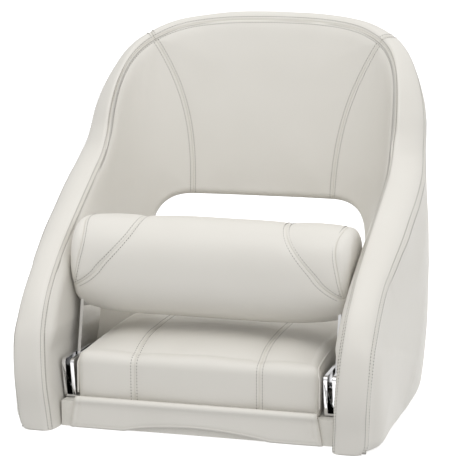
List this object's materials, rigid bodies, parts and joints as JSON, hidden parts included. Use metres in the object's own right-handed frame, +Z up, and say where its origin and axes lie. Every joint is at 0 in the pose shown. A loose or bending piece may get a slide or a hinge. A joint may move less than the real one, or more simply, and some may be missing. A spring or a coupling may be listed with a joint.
{
  "type": "flip-up helm seat",
  "caption": "Padded bucket helm seat with a lumbar opening, a seat cushion and a front bolster that flips down on two bracketed swing arms.",
  "frame": {"origin": "centre of the mounting plate's flat underside, where the seat sits on its pedestal", "axes": "+Z up, the seat faces -Y, +X is on the right of someone facing the seat from the front"},
  "size_m": [0.602, 0.5687, 0.62],
  "materials": {
    "vinyl": "soft off-white marine vinyl, fine grain, low sheen",
    "shell": "moulded, matte",
    "base": "moulded, satin",
    "plate_steel": "brushed",
    "polished_steel": "polished stainless steel",
    "fasteners": "stainless, satin",
    "board": "sealed plywood",
    "nylon": "natural nylon"
  },
  "bodies": {
    "seat": {"moulded_shell": "shell", "inner_back_pad": "vinyl", "inner_lower_pad": "vinyl", "inner_side_pad_left": "vinyl", "inner_side_pad_right": "vinyl", "outer_back_cover": "vinyl", "outer_side_cover_left": "vinyl", "outer_side_cover_right": "vinyl", "rim_band_top": "vinyl", "rim_band_left": "vinyl", "rim_band_right": "vinyl", "opening_binding": "vinyl", "base_frame": "base", "mounting_plate": "plate_steel", "plate_screw_1": "fasteners", "plate_screw_2": "fasteners", "plate_screw_3": "fasteners", "plate_screw_4": "fasteners", "cushion_board": "board", "seat_cushion": "vinyl", "front_apron": "vinyl", "hinge_bracket_left": "polished_steel", "hinge_bracket_right": "polished_steel", "stop_pin_left_rear": "polished_steel", "stop_pin_left_front": "polished_steel", "stop_pin_right_rear": "polished_steel", "stop_pin_right_front": "polished_steel", "bracket_screw_1": "fasteners", "bracket_screw_2": "fasteners", "bracket_screw_3": "fasteners", "bracket_screw_4": "fasteners", "pivot_pin_left": "polished_steel", "pivot_pin_right": "polished_steel", "pivot_clip_left": "fasteners", "pivot_clip_right": "fasteners"},
    "bolster": {"bolster_core": "board", "bolster_pad": "vinyl", "bolster_end_left": "vinyl", "bolster_end_right": "vinyl", "swing_arm_left": "polished_steel", "swing_arm_right": "polished_steel", "arm_screw_left_1": "fasteners", "arm_screw_left_2": "fasteners", "arm_screw_left_3": "fasteners", "arm_screw_right_1": "fasteners", "arm_screw_right_2": "fasteners", "arm_screw_right_3": "fasteners", "pivot_bush_left": "nylon", "pivot_bush_right": "nylon", "pivot_washer_left": "nylon", "pivot_washer_right": "nylon"}
  },
  "joints": [
    {"name": "bolster_flip", "type": "hinge", "parent": "seat", "child": "bolster", "pos_m": [0, -0.135, 0.084], "axis": [1, 0, 0], "range_deg": [0, 110]}
  ]
}
